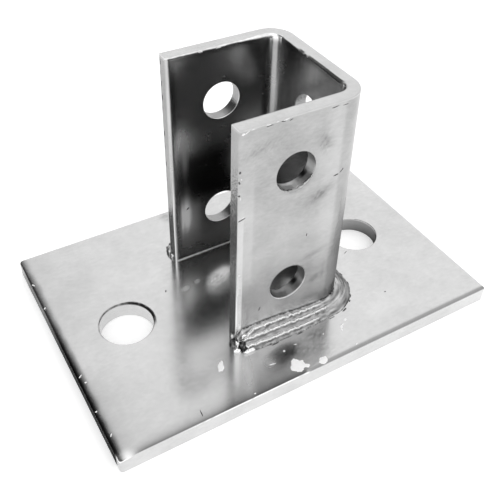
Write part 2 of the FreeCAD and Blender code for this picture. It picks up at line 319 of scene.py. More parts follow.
def plated_steel(name, clean, cloudy, film, rough, stretch):
    """Zinc-plated steel: a satin metal grey that drifts in soft clouds, brushed in faint streaks.

    One attribute lays a dark film over it, partly passivated film and partly painted shade; another
    a bright skin, partly rubbed metal and partly painted highlight; and `matt` roughens it. The
    streaks are a noise squeezed across the way the stock was rolled.
    Where `grain` is high, as on torn and welded metal, a fine bump breaks up the reflections.
    """
    material, tree, shader = new_material(name)
    place = node(tree, "TexCoord").outputs["Object"]
    clouds = node(tree, "TexNoise", Vector=place, Scale=per_metre(CLOUD_SIZE), Detail=4.0,
                  Roughness=0.6)
    drawn = node(tree, "VectorMath", {"operation": "MULTIPLY"}, _0=place, _1=stretch)
    streaks = node(tree, "TexNoise", Vector=drawn.outputs["Vector"],
                   Scale=per_metre(STREAK_SIZE), Detail=3.0)
    blend = node(tree, "Mix", _0=STREAK_SHARE, _2=clouds.outputs["Fac"],
                 _3=streaks.outputs["Fac"])
    drift = node(tree, "MapRange", Value=blend.outputs[0], From_Min=0.35, From_Max=0.65)
    zinc = node(tree, "Mix", RGBA, _0=drift.outputs["Result"],
                _6=colour(clean), _7=colour(cloudy))
    dark = node(tree, "Attribute", {"attribute_name": "film"})
    filmed = node(tree, "Mix", RGBA, _0=dark.outputs["Fac"],
                  _6=zinc.outputs[2], _7=colour(film))
    # The film and painted shade also dim the metal's edge reflection.
    edge_tint = node(tree, "Mix", RGBA, _0=dark.outputs["Fac"],
                     _6=colour("#ffffff"), _7=colour("#606060"))
    tree.links.new(edge_tint.outputs[2], shader.inputs["Specular Tint"])
    brightened = node(tree, "Attribute", {"attribute_name": "burnish"})
    skin = node(tree, "Mix", RGBA, _0=brightened.outputs["Fac"],
                _6=filmed.outputs[2], _7=colour("#fafafa"))
    tree.links.new(skin.outputs[2], shader.inputs["Base Color"])
    shader.inputs["Metallic"].default_value = 1.0
    gloss = node(tree, "MapRange", Value=blend.outputs[0], From_Min=0.3, From_Max=0.7,
                 To_Min=rough - 0.03, To_Max=rough + 0.03)
    scuffed = node(tree, "Attribute", {"attribute_name": "matt"})
    roughness = node(tree, "Mix", _0=scuffed.outputs["Fac"], _2=gloss.outputs["Result"],
                     _3=MATT_ROUGHNESS)
    tree.links.new(roughness.outputs[0], shader.inputs["Roughness"])
    pits = node(tree, "TexNoise", Vector=place, Scale=per_metre(PIT_SIZE), Detail=2.0)
    coarse = node(tree, "Attribute", {"attribute_name": "grain"})
    bumpy = node(tree, "Bump", Strength=coarse.outputs["Fac"], Distance=PIT_DEEP * MM,
                 Height=pits.outputs["Fac"])
    tree.links.new(bumpy.outputs["Normal"], shader.inputs["Normal"])
    return material


CHALK_SIZE, PAINT_ROUGHNESS = 0.8, 0.6  # size in millimetres


def matt_paint(name, light, dark):
    """Dried emulsion paint, or dirt that dried like it: chalky, matt, a little uneven in tone."""
    material, tree, shader = new_material(name)
    place = node(tree, "TexCoord").outputs["Object"]
    chalk = node(tree, "TexNoise", Vector=place, Scale=per_metre(CHALK_SIZE), Detail=3.0)
    tint = node(tree, "Mix", RGBA, _0=chalk.outputs["Fac"],
                _6=colour(light), _7=colour(dark))
    tree.links.new(tint.outputs[2], shader.inputs["Base Color"])
    shader.inputs["Roughness"].default_value = PAINT_ROUGHNESS
    return material


# --- base plate -------------------------------------------------------------------------------

# Darker patches on the plate's top: X, Y, half length, half width, heading, strength.
PLATE_DARK_PATCHES = (
    (-6.7, -40.2, 4.6, 2, 22, 0.42), (-3.2, -42.8, 5.2, 2.4, 14, 0.3),
    (-12.5, -42.6, 7, 4, 15, 0.1), (-14.5, 3.6, 6, 4.5, 20, 0.32), (4.8, -38, 4.5, 3, 15, 0.4),
    (4, -45, 4, 3.5, 0, 0.2), (-14, 47.5, 2.5, 3, 0, 0.22), (-4, 19, 14, 1.5, -4, 0.25))
# Matt rubbed spots on the plate's top, in the same order.
PLATE_RUBBED = (
    (-16.4, -40.8, 2.8, 3.2, 20, 0.3), (-25.4, 5.3, 1.5, 1.1, 30, 0.8),
    (-20, 6.6, 1.3, 0.9, 30, 0.7), (32.6, -38.8, 7, 5, 20, 0.12),
    (-24.4, -39.7, 9.7, 2, 64.6, 0.3))
# Width and depth of the roll-over of the plate's sheared edges and of its punched holes.
LEFT_ROLL, RIGHT_ROLL, FAR_ROLL, ANCHOR_ROLL = (3.2, 1.0), (2.0, 0.7), (1.5, 0.5), (0.55, 0.3)
DEEPEST_ROLL = 1.2
ANCHOR_BLOCK = 14.0  # half width of the grid's block round an anchor hole


def round_corners(flat, low, high, radius):
    """Bends the square corners of a flat grid to arcs: a square's u, v go to a quarter disc's
    u * sqrt(1 - v^2 / 2), v * sqrt(1 - u^2 / 2), measured from the arc's centre."""
    inner = np.clip(flat, low + radius, high - radius)
    out = (flat - inner) / radius
    return inner + out * np.sqrt(1.0 - out[:, ::-1] ** 2 / 2.0) * radius


def crushed_part(x):
    """The near edge is clean on its left and crushed on its right: 0 and 1, an S-curve between."""
    return smooth(x, -7.5, -5.5)


def plate_finish(points, share):
    """Film and painted shade, burnish and painted highlight, matt and grain over the plate, each a
    maximum of bands that fade with the gap from an edge and of soft spots."""
    x, y = points[:, 0], points[:, 1]
    left, near = x - PLATE_LOW[0], y - PLATE_LOW[1]
    top, wall = share < ON_FRONT, (share >= ON_FRONT) & (share < ON_BACK)
    crushed = crushed_part(x)
    # Painted shade is thick along the left edge, thinner towards its far end.
    uneven = waves(points, 7.0, 12)
    film = 1.05 * unit(1.0 - left / (2.7 + 0.4 * uneven)) ** 0.8
    film *= 1.0 - 0.4 * smooth(y, -5.0, 25.0) - 0.3 * smooth(y, 36.0, 48.0)
    left_edge_shade = 0.4 * np.exp(-left / 6.0) * smooth(-y, 5.0, 30.0)
    # Painted shade fades inwards from the clean part of the near edge, and fills the crushed part's
    # roll.
    shade = (1.0 - crushed) * (0.9 * np.exp(-near / (1.9 + 0.7 * bump(x, -25.0, 22.0))))
    rolled = 0.6 * smooth(near, 0.1, 0.3) * (1.0 - smooth(near, 0.9, 2.1))
    mottled = np.clip(1.0 + 0.2 * uneven + 0.5 * waves(points, 0.9, 15), 0.3, 2.0)
    dark_patches = np.clip(spots(x, y, PLATE_DARK_PATCHES), 0.0, 0.85) * mottled
    # Painted shade darkens the left hole's rim round its far right, and the right hole's wall.
    from_left, from_right, from_middle = x - ANCHOR_X[0], x - ANCHOR_X[1], y - ANCHOR_MIDDLE[1]
    gap = np.hypot(from_left, from_middle) - ANCHOR_RADIUS
    rightward, upward = from_left / ANCHOR_RADIUS, from_middle / ANCHOR_RADIUS
    rim_shade = (0.7 + 0.15 * waves(points, 2.2, 13) + 0.4 * rightward) * smooth(upward, -0.7, -0.2)
    wide = 0.3 + 0.5 * smooth(rightward, 0.0, 0.8)
    rim_shade = rim_shade * (1.0 - smooth(gap, wide, wide + 0.4))
    right_wall = (np.hypot(from_right, from_middle) < ANCHOR_RADIUS + 0.2) & ~top
    right_wall = right_wall * (
        0.38 + 0.25 * share + 0.2 * np.cos(np.arctan2(from_middle, from_right)))
    film = np.maximum.reduce([film, top * left_edge_shade, top * shade, top * crushed * rolled,
                              top * dark_patches, top * rim_shade, right_wall])
    # The near side has no film or painted shade; the near left corner is lighter, and the near
    # edge's lip carries a painted highlight.
    film[~top & (near < 3.0)] = 0.0
    film *= np.where(left < 1.0, smooth(near, 2.0, 3.5), 1.0)
    corner = np.exp(-(np.clip(left - 1.5, 0.0, None) / 3.0) ** 2 - (near / 2.1) ** 2)
    dashes = smooth(waves(points, 3.0, 14), -0.9, 0.1) * smooth(x, -60.0, -30.0)
    lip = top * (1.0 - crushed) * (1.0 - smooth(near, 0.1, 0.3)) * (0.5 + 0.5 * dashes)
    brightened = top * spots(x, y, PLATE_RUBBED)
    burnish = unit(np.maximum(top * np.maximum(1.3 * corner, lip), brightened))
    return {"film": unit(film - burnish), "burnish": burnish,
            "grain": 0.5 * wall + 0.6 * (left < 1.5), "matt": brightened}


def base_plate(material):
    """Flat bar cut to length, with two punched holes: a flat grid whose top is lowered by
    sqrt(across^2 + along^2) of the edges' roll-overs. Its torn walls dip by 0.04 mm times noise
    times sin(pi * share of the way down)."""
    middle = ANCHOR_MIDDLE[1]
    low, high = PLATE_LOW[:2], PLATE_HIGH[:2]
    across = near_edges(grid_lines(
        low[0] + EDGE_BAND, (ANCHOR_X[0] - ANCHOR_BLOCK, 6), (ANCHOR_X[0] + ANCHOR_BLOCK, 36),
        (ANCHOR_X[1] - ANCHOR_BLOCK, 80), (ANCHOR_X[1] + ANCHOR_BLOCK, 36),
        (high[0] - EDGE_BAND, 6)), low[0], high[0])
    along = near_edges(grid_lines(
        low[1] + EDGE_BAND, (middle - ANCHOR_BLOCK, 40), (middle + ANCHOR_BLOCK, 36),
        (high[1] - EDGE_BAND, 40)), low[1], high[1])
    holes = [(place, middle, ANCHOR_RADIUS, ANCHOR_BLOCK) for place in ANCHOR_X]
    flat, quads, loops = sheet_grid(across, along, holes)
    left, right = flat[:, 0] - low[0], high[0] - flat[:, 0]
    near, far = flat[:, 1] - low[1], high[1] - flat[:, 1]
    crushed = crushed_part(flat[:, 0])
    depth = np.hypot(
        roll(left, *LEFT_ROLL) + roll(right, *RIGHT_ROLL),
        roll(near, 0.35 + 1.45 * crushed, 0.12 + 0.6 * crushed) + roll(far, *FAR_ROLL))
    for place in ANCHOR_X:
        gap = np.hypot(flat[:, 0] - place, flat[:, 1] - middle) - ANCHOR_RADIUS
        depth = np.maximum(depth, roll(gap, *ANCHOR_ROLL))
    rounded = round_corners(flat, low, high, PLATE_CORNER)
    front = np.column_stack([rounded, PLATE_TOP - np.minimum(depth, DEEPEST_ROLL)])
    back = np.column_stack([rounded, np.full(len(flat), PLATE_LOW[2])])

    def relief(points, share, loop):
        """Dip of a torn wall: noise, drawn out along the edge, times an arch down the wall."""
        drawn = np.column_stack([points[:, 0] / 8.0, points[:, 1] / 8.0, points[:, 2]])
        rough = np.clip(1.0 + waves(drawn, 1.1, 11), 0.0, 2.0)
        return -0.04 * rough * math.sin(math.pi * share)

    points, faces, share = thick_sheet(front, back, quads, loops, relief)
    return make_piece("plated_base_plate", points, [faces], "plated_plate", material, "base_plate",
                      **plate_finish(points, share))


# --- post channel -----------------------------------------------------------------------------

# Lighter patches on the far flange's inner face, partly rubbed marks and partly painted light: X,
# Z, half length, half width, heading, strength.
RUBBED_AND_LIT = (
    (-16.8, 55, 1.2, 8, 0, 0.45), (-16.7, 28, 1.9, 8.5, 0, 1.3), (-18.7, 26.5, 0.6, 7.5, 0, 0.8),
    (-13, 26, 2.5, 8, 0, 0.4), (-4, 18, 12, 9, 0, 0.12), (9.5, 48, 7, 8, 0, 0.45))
# Patches of painted shade on the same face, in the same order.
SHADE_PATCHES = ((9.5, 87, 8, 14, 0, 1.05), (-14, 92, 9, 8, 0, 0.8))
# Stained patches on the near flange's outer face, in the same order.
STAINED = (
    (8.7, 62, 4.6, 2.3, 25, 0.36), (8.6, 82, 2.4, 4, 20, 0.3), (8.4, 36, 5, 1.1, 12, 0.25),
    (-15, 87, 6, 2, 20, 0.14), (-8, 84, 12, 9, 0, 0.08), (9.7, 23.4, 2.2, 1.3, 30, 0.35),
    (12.7, 24.5, 0.5, 2.6, 0, 0.4), (-17.7, 16.2, 0.8, 5, 0, 0.35))
# A lighter patch of that face, in the same order.
LIGHTER_PATCH = ((-11, 19, 12, 10, 0, 0.42),)
# How much painted shade darkens the near flange's inner face, the web's, and the far flange's.
NEAR_INNER_SHADE, WEB_INNER_SHADE, FAR_INNER_SHADE = 0.92, 0.76, 0.1
# Width and depth of the roll-over of a sheared edge on the side that wasn't dragged, of the top
# edge outside, of the far flange's open edge inside, and of a punched hole inside.
CLEAN_ROLL, TOP_ROLL, FAR_OPEN_ROLL, BORE_ROLL = (0.4, 0.15), (0.6, 0.2), (2.0, 0.7), (0.3, 0.1)
BORE_BLOCK = 11.0  # half width of the grid's block round a punched hole


def bend_sheet(girth, height, depth):
    """Place of a point of the bent sheet: girth along the U, height up it, depth below its
    outer face. The U is a straight flange, a quarter turn, the web, a quarter turn, a flange."""
    turn = math.pi / 2 / BEND_LONG
    near_turn = np.clip(girth - GIRTH_STOPS[1], 0.0, BEND_LONG) * turn
    far_turn = np.clip(girth - GIRTH_STOPS[3], 0.0, BEND_LONG) * turn
    reach = BEND_OUTSIDE - depth
    heading = near_turn + far_turn
    straight_x = np.minimum(girth - GIRTH_STOPS[1], 0.0) - np.maximum(girth - GIRTH_STOPS[4], 0.0)
    middle_y = BEND_NEAR_Y + np.clip(girth - GIRTH_STOPS[2], 0.0, WEB_WIDE)
    return np.column_stack([
        BEND_X + straight_x + reach * np.sin(heading),
        middle_y - reach * np.cos(heading),
        CHANNEL_LOW[2] + height])


def channel_finish(points, girth, share):
    """Film and painted shade, burnish and painted highlight, matt and grain over the channel: sums
    and maxima of S-curves and bell curves of the gaps from edges, and of soft spots. The inner
    faces carry painted shade, lighter in rubbed patches and in painted light; the sheared edges
    carry painted highlights."""
    stops = GIRTH_STOPS
    x, y, z = points.T
    outside, inside = share < ON_FRONT, share > ON_BACK
    wall = ~outside & ~inside
    down, open_gap = CHANNEL_HIGH[2] - z, x - CHANNEL_LOW[0]
    on_far, on_near = girth > stops[4], girth < stops[1]
    far_inside, near_outside = inside & on_far, outside & on_near
    # Inner faces: painted shade, which thins at sheared edges, in a strip of the far bend and in a
    # patch of painted light on the web, darkens under the web's top edge, and drifts in streaks up
    # the sheet.
    web = between(girth, (stops[2] - 1.5, stops[2] + 1.0), (stops[3] - 0.5, stops[3] + 1.0))
    strip = bump(girth, stops[3] + 0.45 * BEND_LONG, 3.0)
    glow = np.exp(-((y + 4.0) / 9.0) ** 2 - ((z - 84.0) / 13.0) ** 2)
    strength = 1.0 + web * (0.5 * bump(down, 0.8, 0.9) - 0.3 * glow) - 0.58 * strip
    lip = 0.6 + 1.6 * smooth(x, 8.0, 18.0)
    strength *= np.where(web > 0.5, 1.0, smooth(down, 0.5 * lip, 1.6 * lip))
    upper = smooth(z, 25.0, 42.0)
    edge = 0.35 + 0.65 * upper
    strength *= smooth(open_gap, 0.4 * edge, 3.0 * edge)
    brightened = spots(x, z, RUBBED_AND_LIT)
    strength -= on_far * brightened
    drawn = waves(np.column_stack([girth, z / 18.0]), 2.4, 43)
    film = inside * unit(strength * (1.0 - 0.1 * np.abs(drawn)))
    near_to_web = NEAR_INNER_SHADE + (WEB_INNER_SHADE - NEAR_INNER_SHADE) * smooth(girth, stops[1], stops[2])
    web_to_far = WEB_INNER_SHADE + (FAR_INNER_SHADE - WEB_INNER_SHADE) * smooth(girth, stops[3], stops[3] + 4.0)
    film *= np.where(girth < GIRTH / 2, near_to_web, web_to_far)
    film *= 1.0 - 0.38 * inside * on_near * smooth(32.0 - z, 0.0, 10.0)
    film *= 1.0 - 0.7 * web * bump(z, 50.0, 14.0)
    # Painted shade is kept dark at middle height of the far inner face, and comes back a little in
    # the far bend's strip.
    kept = between(z, (30.0, 38.0), (51.0, 60.0)) * (1.0 - 0.7 * smooth(x, 0.0, 6.0))
    film += far_inside * 0.85 * kept * smooth(open_gap, 1.5, 4.5)
    film += 0.15 * inside * strip
    # Outer faces: painted shade darkens the near bend towards its foot, and the near flange is
    # stained.
    low_bend = bump(girth, stops[1] + 4.5, 4.0) * smooth(80.0 - z, 0.0, 55.0)
    low_bend = low_bend * (0.3 + 0.2 * smooth(48.0 - z, 0.0, 15.0))
    stained = spots(x, z, STAINED) * np.clip(1.1 + 0.6 * waves(points, 0.9, 47), 0.0, 2.0)
    film += outside * (low_bend + on_near * stained)
    film += wall * (down > 1.0) * np.where(on_near, 0.2 - 0.03 * upper, 0.23)
    shade_patches = far_inside * spots(x, z, SHADE_PATCHES)
    film += 0.65 * shade_patches
    # Painted highlights inside: along the lips, and painted light on the upper part of the far
    # flange.
    lip_highlight_level = 0.75 + 0.2 * waves(points, 2.6, 46) + 0.3 * smooth(x, 5.0, 15.0)
    top_lip = inside * (girth > stops[3]) * bump(down, 0.35 * lip, 0.6 * lip) * lip_highlight_level
    highlight_rise = 0.35 + 0.5 * smooth(down, 45.0, 65.0)
    open_lip = highlight_rise * far_inside * bump(open_gap, 0.5 * edge, 0.6 * edge)
    painted_light_upper = smooth(open_gap, 2.0, 4.0) * smooth(down, 1.0, 3.0) * unit(1.0 - shade_patches)
    painted_light_upper = 0.93 * far_inside * painted_light_upper * smooth(z, 55.0, 66.0) * (1.0 - 0.15 * smooth(z, 76.0, 86.0))
    # Outside: painted highlights on the near flange's open edge and on the top edges, and a lighter
    # band beside the open edge, a lighter patch, and a lighter part that nears the bend.
    side = near_outside * (1.0 - smooth(open_gap, 1.9, 2.4))
    side = side * (0.35 * smooth(down, 20.0, 40.0) + 0.65 * smooth(down, 56.0, 70.0))
    band = near_outside * (1.0 - smooth(open_gap, 4.8, 6.2)) * smooth(down, 4.0, 30.0)
    top_rim = 0.25 * outside * (1.0 - smooth(down, 0.3, 0.8))
    right = 0.16 * near_outside * between(x, (4.0, 13.0), (16.0, 21.0)) * (1.0 - stained)
    burnish = np.maximum.reduce([
        top_lip, open_lip, painted_light_upper, side, 0.13 * band, top_rim, near_outside * spots(x, z, LIGHTER_PATCH),
        right, 0.3 * wall * (down < 0.3)])
    brightened = far_inside * brightened
    burnish = burnish + brightened
    # The near flange's bolt holes: a stroke of painted shade and one of painted highlight down the
    # wall, a torn upper rim.
    bore_wall = wall & on_near & (down > 1.0) & (open_gap > 2.0)
    heading = np.arctan2(z - np.where(upper > 0.9, HIGH_BORE_Z, LOW_BORE_Z), x - BORE_X)
    film += bore_wall * 0.9 * bump(heading, -0.75, 0.25) * smooth(share, 0.45, 0.65)
    stroke = bore_wall * 0.6 * bump(heading, -1.75, 0.3) * smooth(share, 0.5, 0.7)
    burnish = np.maximum(burnish, stroke)
    rim_gap = np.hypot(x - BORE_X, z - HIGH_BORE_Z) - BORE_RADIUS
    torn = near_outside & (z > 60.0)
    torn = torn * bump(heading, -1.5, 1.0) * (1.0 - smooth(rim_gap, 0.9, 1.8))
    film += 0.15 * torn
    matt = np.maximum(brightened, 0.35 * bore_wall)
    grain = 0.9 * wall + 0.08 * outside + 0.4 * torn
    return {"film": unit(film), "burnish": unit(burnish),
            "matt": unit(matt), "grain": grain}


def post_channel(material):
    """Plate bent to a U on end, its open and top edges sheared, its bolt holes punched: a flat
    grid carried round the bends, at the depth of its roll-overs from either face. Its torn walls
    dip by 0.03 mm times noise times sin(pi * share of the way through)."""
    half = BORE_BLOCK
    bore_girth = BORE_X - CHANNEL_LOW[0]
    heights = [bore[0][2] - CHANNEL_LOW[2] for bore in WEB_BORES]
    middles = (bore_girth, GIRTH / 2, GIRTH - bore_girth)
    stops = GIRTH_STOPS
    across = near_edges(grid_lines(
        EDGE_BAND, (middles[0] - half, 8), (middles[0] + half, 32), (stops[1], 5), (stops[2], 22),
        (middles[1] - half, 5), (middles[1] + half, 30), (stops[3], 5), (stops[4], 22),
        (middles[2] - half, 5), (middles[2] + half, 32), (GIRTH - EDGE_BAND, 8)), 0.0, GIRTH)
    along = near_edges(grid_lines(
        EDGE_BAND, (heights[0] - half, 8), (heights[0] + half, 34), (heights[1] - half, 36),
        (heights[1] + half, 34), (CHANNEL_TALL - EDGE_BAND, 8)), 0.0, CHANNEL_TALL)
    holes = [(middle, height, BORE_RADIUS, half) for middle in middles for height in heights]
    flat, quads, loops = sheet_grid(across, along, holes)
    girth, height = flat.T
    top = CHANNEL_TALL - height
    on_web = between(girth, (stops[2] - 1.0, stops[2] + 1.0), (stops[3] - 1.0, stops[3] + 1.0))
    # The web's inner top edge broke away with a step and a tooth; the flanges' edges are cleaner.
    web_y = BEND_NEAR_Y + girth - stops[2]
    jag = (1.1 - 0.3 * smooth(web_y, -13.0, -8.0) - 0.6 * smooth(web_y, 6.0, 7.0)
           - bump(web_y, 2.4, 0.8) + 0.12 * waves(girth[:, None], 1.8, 42))
    torn = on_web * np.clip(jag, 0.0, 1.2) * unit(1.0 - top / 2.5) ** 2
    bend_lip = between(girth, (stops[3], stops[4]), (stops[4] + 2.0, stops[4] + 10.0))
    # The near flange's open edge was dragged most at its foot.
    dragged = 1.0 - 0.45 * smooth(height, 20.0, 46.0)
    outer = np.hypot(
        roll(girth, 2.2 * dragged, 0.55 * dragged) + roll(GIRTH - girth, *CLEAN_ROLL),
        roll(top, *TOP_ROLL))
    inner = np.hypot(
        roll(GIRTH - girth, *FAR_OPEN_ROLL) + roll(girth, *CLEAN_ROLL),
        roll(top, 1.1 + 1.3 * bend_lip, 0.4 + 0.4 * bend_lip) * (1.0 - on_web))
    for middle in middles:
        for place in heights:
            gap = np.hypot(girth - middle, height - place) - BORE_RADIUS
            heading = np.arctan2(height - place, girth - middle)
            torn_rim = bump(heading, -1.5, 1.0) * (0.8 + 0.35 * waves(heading[:, None], 0.45, 45))
            is_torn = place == heights[1] and middle == middles[0]
            torn_rim = np.clip(torn_rim, 0.0, None) * is_torn
            outer = np.maximum(outer, roll(gap, 0.5 + 0.9 * torn_rim, 0.25 + 1.1 * torn_rim))
            inner = np.maximum(inner, roll(gap, *BORE_ROLL))
    front = bend_sheet(girth, height, outer)
    back = bend_sheet(girth, height - torn, SHEET - inner)

    def relief(points, share, loop):
        """Step out to a torn edge, less a dip: noise times an arch through the wall."""
        rough = np.clip(1.0 + waves(points, 1.2, 21), 0.0, 2.0)
        kept = torn[loops[loop]] * (share - smooth(share, 0.8, 1.0))
        return kept - 0.03 * rough * math.sin(math.pi * share)

    points, faces, share = thick_sheet(front, back, quads, loops, relief)
    around = np.concatenate([np.tile(girth[loop], WALL_ROWS - 1) for loop in loops])
    place = np.concatenate([girth, girth, around])
    return make_piece("plated_post_channel", points, [faces], "plated_channel", material,
                      "post_channel", **channel_finish(points, place, share))


# --- weld -------------------------------------------------------------------------------------

# Legs of the weld along the channel's foot: girth, leg up the channel, leg out on the plate.
WELD_LEGS = (
    (0, 5.6, 5.6), (5, 5.8, 6.3), (12, 5.7, 7), (19, 5.1, 7.1), (26, 3.9, 7.2), (34, 3.4, 6.7),
    (40, 3.5, 6.4), (46, 3.8, 6.7), (52, 4.2, 6.6), (66, 4.6, 7), (88, 4.4, 7), (110, 4.6, 6.8),
    (126, 4.4, 6.4))
# Crests between the runs: share of the way from toe to toe, girth at which a crest sinks into
# the near bend, and how much of it sinks.
RIDGES = ((0.17, 36.0, 0.95), (0.45, 38.0, 0.7), (0.76, 33.0, 0.9))
WELD_INSET, WELD_UNDER = 0.3, 0.4  # gap from the channel's open edges, depth below the surfaces
BEAD_INSET, BEAD_HALF = 0.6, 0.42  # gap from the open edges and half size of the inner bead
# Lumps where the weld starts and stops: centre, half sizes, how filmed each is, and how bright its
# painted highlight is.
WELD_LUMPS = (
    ((-23.9, -31, 6.8), (1.3, 1.1, 1.3), 0, 1),
    ((-22.9, -29.6, 7.6), (0.8, 0.9, 2.2), 0, 1),
    ((-21.2, -30.5, 7), (1.1, 1.7, 1.9), 1, 0),
    ((-22.5, -24.9, 7.6), (0.7, 1.2, 1.3), 0.4, 0.3),
    ((-23.6, -27.6, 6.6), (1.1, 1.6, 1), 0.8, 0.1),
    ((-19.8, -33.2, 6.8), (2.2, 0.8, 1), 0, 1),
    ((-19.8, -28.8, 9.4), (1.1, 0.9, 1.3), 0.1, 0.9),
    ((-22.4, 23.6, 6.8), (0.9, 1.2, 1.2), 0.4, 0.4),
    ((-22.2, 26.2, 7.2), (1, 1.4, 2), 0.5, 0.3),
    ((-21.4, 28.2, 6.8), (1.3, 1.5, 1.3), 0.5, 0.3))


def weld_line(girth, out, up):
    """Place of a point of the weld: girth along the channel's outside foot, out from it, up."""
    place = bend_sheet(girth, np.zeros_like(girth), -out)
    place[:, 2] = PLATE_TOP + up
    return place


def closed_rows(number):
    """Quads of a grid of point numbers whose rows close on themselves."""
    turned = np.roll(number, -1, axis=1)
    return np.stack([number[:-1], turned[:-1], turned[1:], number[1:]], -1).reshape(-1, 4)


def swept(girth, out, up):
    """Closed bar whose section at each girth is a ring of (out, up) points: girth is one value a
    row, out and up are rows of a grid. Each end is a fan of triangles about its middle."""
    points = weld_line(np.repeat(girth, out.shape[1]), out.ravel(), up.ravel())
    number = np.arange(len(points)).reshape(out.shape)
    triangles = []
    for row, order in ((number[0], (0, 1, 2)), (number[-1], (1, 0, 2))):
        middle = np.full(len(row), len(points))
        points = np.vstack([points, points[row].mean(axis=0)])
        triangles.append(np.stack([np.roll(row, -1), row, middle], -1)[:, order])
    return points, [closed_rows(number)], triangles


def root_bead(material):
    """Bead in the inner corner at the channel's foot, lightened all over as a painted highlight: an
    ellipse carried round the inside of the U, its half sizes swelling by waves along it."""
    steps, sides = 700, 24
    girth = np.linspace(BEAD_INSET, GIRTH - BEAD_INSET, steps)
    turn = np.linspace(0.0, 2.0 * math.pi, sides, endpoint=False)
    swell = (BEAD_HALF + 0.04 * waves(girth[:, None], 5.0, 61))[:, None]
    out = -SHEET - swell * np.cos(turn)
    up = swell * np.sin(turn)
    points, quads, triangles = swept(girth, out, up)
    return make_piece("plated_root_bead", points, [*quads, *triangles], "plated_weld", material,
                      sharp=60.0, burnish=np.full(len(points), 0.8), matt=np.full(len(points), 0.3))


def lump(centre, sizes, seed):
    """Rounded lump: an ellipsoid over latitude and longitude whose radius swells by waves."""
    turns, rises = 28, 18
    around = np.linspace(0.0, 2.0 * math.pi, turns, endpoint=False)
    rise = np.linspace(-math.pi / 2, math.pi / 2, rises + 1)[1:-1]
    rise, around = np.meshgrid(rise, around, indexing="ij")
    ball = np.stack([
        np.cos(rise) * np.cos(around), np.cos(rise) * np.sin(around), np.sin(rise)], -1)
    ball = np.vstack([ball.reshape(-1, 3), (0.0, 0.0, -1.0), (0.0, 0.0, 1.0)])
    swell = 1.0 + 0.16 * waves(ball, 1.5, seed) + 0.05 * waves(ball, 0.5, seed + 20)
    points = ball * np.array(sizes) * swell[:, None] + np.array(centre)
    number = np.arange(turns * (rises - 1)).reshape(rises - 1, turns)
    first, last = number[0], number[-1]
    low, high = np.full(turns, len(points) - 2), np.full(turns, len(points) - 1)
    caps = np.vstack([np.stack([low, np.roll(first, -1), first], -1),
                      np.stack([high, last, np.roll(last, -1)], -1)])
    return points, closed_rows(number), caps


